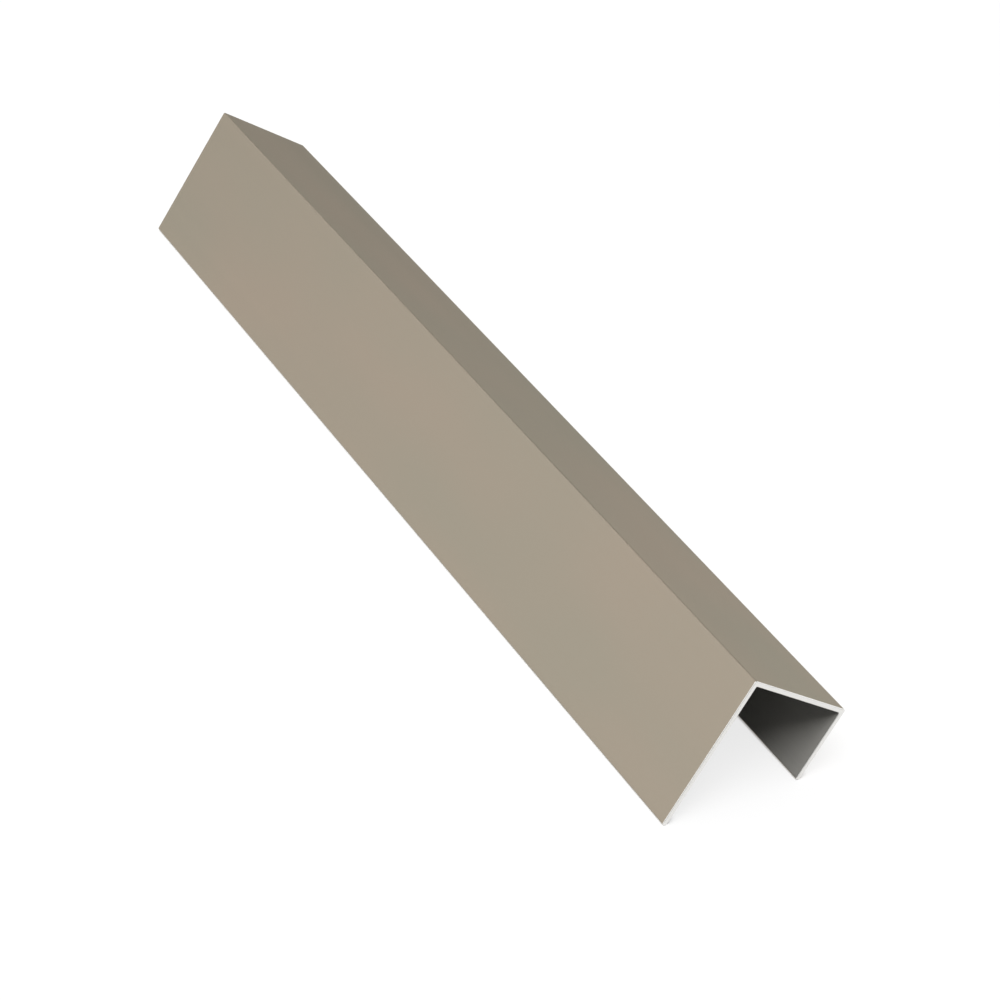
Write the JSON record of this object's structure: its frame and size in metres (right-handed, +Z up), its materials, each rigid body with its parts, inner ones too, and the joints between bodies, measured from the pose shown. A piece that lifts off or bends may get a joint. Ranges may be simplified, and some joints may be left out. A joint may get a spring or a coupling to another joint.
{
  "type": "aluminium extrusion profile",
  "caption": "Extruded aluminium channel with one long and one short leg, satin champagne anodised, sawn square at the ends; caps or trims the edge of a panel.",
  "frame": {"origin": "on the floor under the middle of the piece, with the channel standing on its two leg tips, mouth down", "axes": "+X along the length, +Y from the long leg's tip to the short leg's tip, +Z up"},
  "size_m": [0.3, 0.047, 0.0331],
  "materials": {
    "anodised_aluminium": "satin champagne anodised, with bare bright metal on the sawn ends"
  },
  "bodies": {
    "root": {"channel": "anodised_aluminium"}
  },
  "joints": []
}
